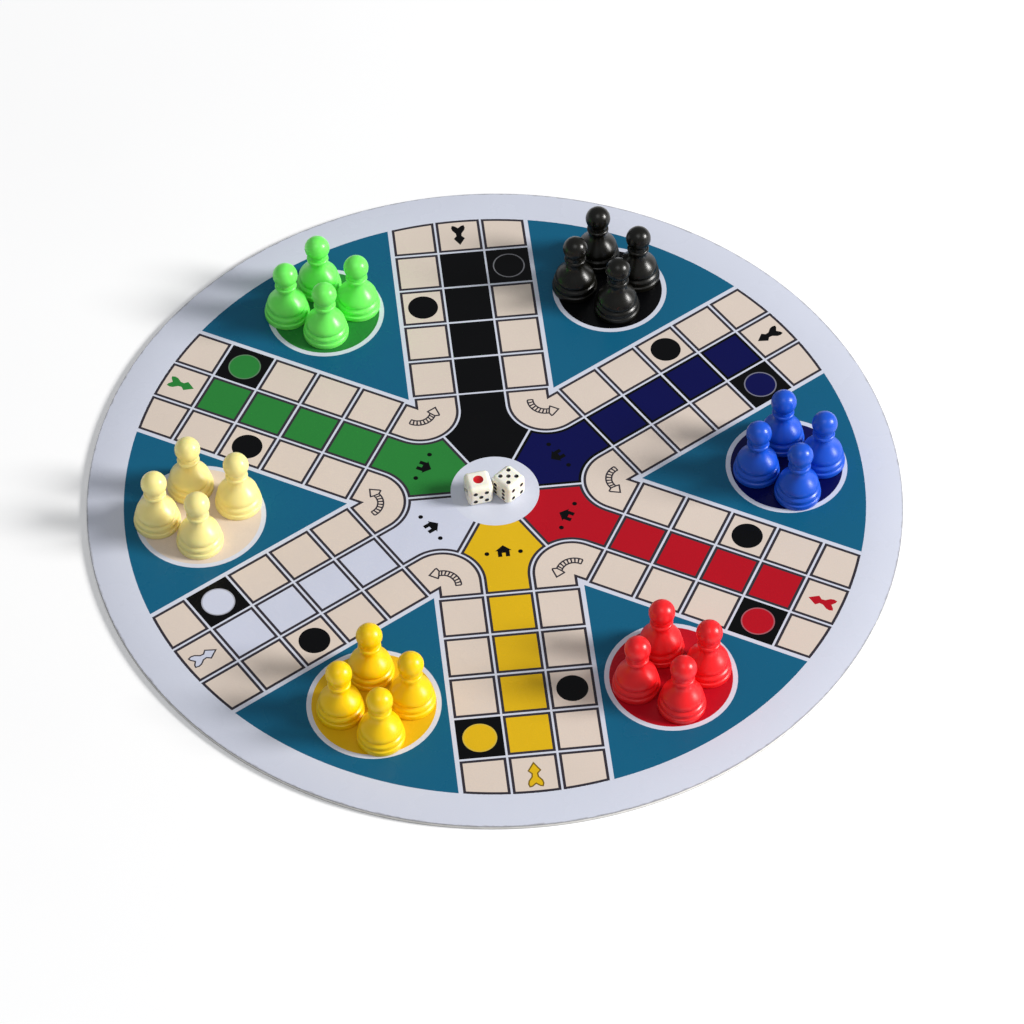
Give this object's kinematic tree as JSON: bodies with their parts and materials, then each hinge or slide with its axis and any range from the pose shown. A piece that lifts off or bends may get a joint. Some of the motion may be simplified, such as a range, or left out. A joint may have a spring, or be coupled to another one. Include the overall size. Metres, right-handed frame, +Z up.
{
  "type": "ludo board game",
  "caption": "Round flat ludo board with six coloured arms, set out for play with turned-shape pawns on its start circles and two small dice at the centre.",
  "frame": {"origin": "centre of the board's underside, on the surface that it lies on", "axes": "+Z up out of the printed face; +Y from the centre along the black arm of the printed track; +X to the right, seen from above with the black arm away from the viewer"},
  "size_m": [0.254, 0.254, 0.0241],
  "materials": {
    "printed_sheet": "printed and gloss laminated",
    "core_board": "cut edge, matte",
    "backing_paper": "matte",
    "plastic_black": "moulded, semi-gloss",
    "plastic_blue": "moulded, semi-gloss",
    "plastic_red": "moulded, semi-gloss",
    "plastic_yellow": "moulded, semi-gloss",
    "plastic_ivory": "moulded, semi-gloss",
    "plastic_green": "moulded, semi-gloss",
    "die_plastic": "moulded, with painted pips"
  },
  "bodies": {
    "board": {"face_sheet": "printed_sheet", "board_core": "core_board", "backing_sheet": "backing_paper"},
    "pawn_black_1": {"pawn_black_1": "plastic_black"},
    "pawn_black_2": {"pawn_black_2": "plastic_black"},
    "pawn_black_3": {"pawn_black_3": "plastic_black"},
    "pawn_black_4": {"pawn_black_4": "plastic_black"},
    "pawn_blue_1": {"pawn_blue_1": "plastic_blue"},
    "pawn_blue_2": {"pawn_blue_2": "plastic_blue"},
    "pawn_blue_3": {"pawn_blue_3": "plastic_blue"},
    "pawn_blue_4": {"pawn_blue_4": "plastic_blue"},
    "pawn_red_1": {"pawn_red_1": "plastic_red"},
    "pawn_red_2": {"pawn_red_2": "plastic_red"},
    "pawn_red_3": {"pawn_red_3": "plastic_red"},
    "pawn_red_4": {"pawn_red_4": "plastic_red"},
    "pawn_yellow_1": {"pawn_yellow_1": "plastic_yellow"},
    "pawn_yellow_2": {"pawn_yellow_2": "plastic_yellow"},
    "pawn_yellow_3": {"pawn_yellow_3": "plastic_yellow"},
    "pawn_yellow_4": {"pawn_yellow_4": "plastic_yellow"},
    "pawn_ivory_1": {"pawn_ivory_1": "plastic_ivory"},
    "pawn_ivory_2": {"pawn_ivory_2": "plastic_ivory"},
    "pawn_ivory_3": {"pawn_ivory_3": "plastic_ivory"},
    "pawn_ivory_4": {"pawn_ivory_4": "plastic_ivory"},
    "pawn_green_1": {"pawn_green_1": "plastic_green"},
    "pawn_green_2": {"pawn_green_2": "plastic_green"},
    "pawn_green_3": {"pawn_green_3": "plastic_green"},
    "pawn_green_4": {"pawn_green_4": "plastic_green"},
    "die_left": {"die_left": "die_plastic"},
    "die_right": {"die_right": "die_plastic"}
  },
  "joints": [
    {"name": "lift_pawn_black_1", "type": "slide", "parent": "board", "child": "pawn_black_1", "axis": [0, 0, 1], "range_m": [0, 0.03]},
    {"name": "lift_pawn_black_2", "type": "slide", "parent": "board", "child": "pawn_black_2", "axis": [0, 0, 1], "range_m": [0, 0.03]},
    {"name": "lift_pawn_black_3", "type": "slide", "parent": "board", "child": "pawn_black_3", "axis": [0, 0, 1], "range_m": [0, 0.03]},
    {"name": "lift_pawn_black_4", "type": "slide", "parent": "board", "child": "pawn_black_4", "axis": [0, 0, 1], "range_m": [0, 0.03]},
    {"name": "lift_pawn_blue_1", "type": "slide", "parent": "board", "child": "pawn_blue_1", "axis": [0, 0, 1], "range_m": [0, 0.03]},
    {"name": "lift_pawn_blue_2", "type": "slide", "parent": "board", "child": "pawn_blue_2", "axis": [0, 0, 1], "range_m": [0, 0.03]},
    {"name": "lift_pawn_blue_3", "type": "slide", "parent": "board", "child": "pawn_blue_3", "axis": [0, 0, 1], "range_m": [0, 0.03]},
    {"name": "lift_pawn_blue_4", "type": "slide", "parent": "board", "child": "pawn_blue_4", "axis": [0, 0, 1], "range_m": [0, 0.03]},
    {"name": "lift_pawn_red_1", "type": "slide", "parent": "board", "child": "pawn_red_1", "axis": [0, 0, 1], "range_m": [0, 0.03]},
    {"name": "lift_pawn_red_2", "type": "slide", "parent": "board", "child": "pawn_red_2", "axis": [0, 0, 1], "range_m": [0, 0.03]},
    {"name": "lift_pawn_red_3", "type": "slide", "parent": "board", "child": "pawn_red_3", "axis": [0, 0, 1], "range_m": [0, 0.03]},
    {"name": "lift_pawn_red_4", "type": "slide", "parent": "board", "child": "pawn_red_4", "axis": [0, 0, 1], "range_m": [0, 0.03]},
    {"name": "lift_pawn_yellow_1", "type": "slide", "parent": "board", "child": "pawn_yellow_1", "axis": [0, 0, 1], "range_m": [0, 0.03]},
    {"name": "lift_pawn_yellow_2", "type": "slide", "parent": "board", "child": "pawn_yellow_2", "axis": [0, 0, 1], "range_m": [0, 0.03]},
    {"name": "lift_pawn_yellow_3", "type": "slide", "parent": "board", "child": "pawn_yellow_3", "axis": [0, 0, 1], "range_m": [0, 0.03]},
    {"name": "lift_pawn_yellow_4", "type": "slide", "parent": "board", "child": "pawn_yellow_4", "axis": [0, 0, 1], "range_m": [0, 0.03]},
    {"name": "lift_pawn_ivory_1", "type": "slide", "parent": "board", "child": "pawn_ivory_1", "axis": [0, 0, 1], "range_m": [0, 0.03]},
    {"name": "lift_pawn_ivory_2", "type": "slide", "parent": "board", "child": "pawn_ivory_2", "axis": [0, 0, 1], "range_m": [0, 0.03]},
    {"name": "lift_pawn_ivory_3", "type": "slide", "parent": "board", "child": "pawn_ivory_3", "axis": [0, 0, 1], "range_m": [0, 0.03]},
    {"name": "lift_pawn_ivory_4", "type": "slide", "parent": "board", "child": "pawn_ivory_4", "axis": [0, 0, 1], "range_m": [0, 0.03]},
    {"name": "lift_pawn_green_1", "type": "slide", "parent": "board", "child": "pawn_green_1", "axis": [0, 0, 1], "range_m": [0, 0.03]},
    {"name": "lift_pawn_green_2", "type": "slide", "parent": "board", "child": "pawn_green_2", "axis": [0, 0, 1], "range_m": [0, 0.03]},
    {"name": "lift_pawn_green_3", "type": "slide", "parent": "board", "child": "pawn_green_3", "axis": [0, 0, 1], "range_m": [0, 0.03]},
    {"name": "lift_pawn_green_4", "type": "slide", "parent": "board", "child": "pawn_green_4", "axis": [0, 0, 1], "range_m": [0, 0.03]},
    {"name": "lift_die_left", "type": "slide", "parent": "board", "child": "die_left", "axis": [0, 0, 1], "range_m": [0, 0.03]},
    {"name": "lift_die_right", "type": "slide", "parent": "board", "child": "die_right", "axis": [0, 0, 1], "range_m": [0, 0.03]}
  ]
}
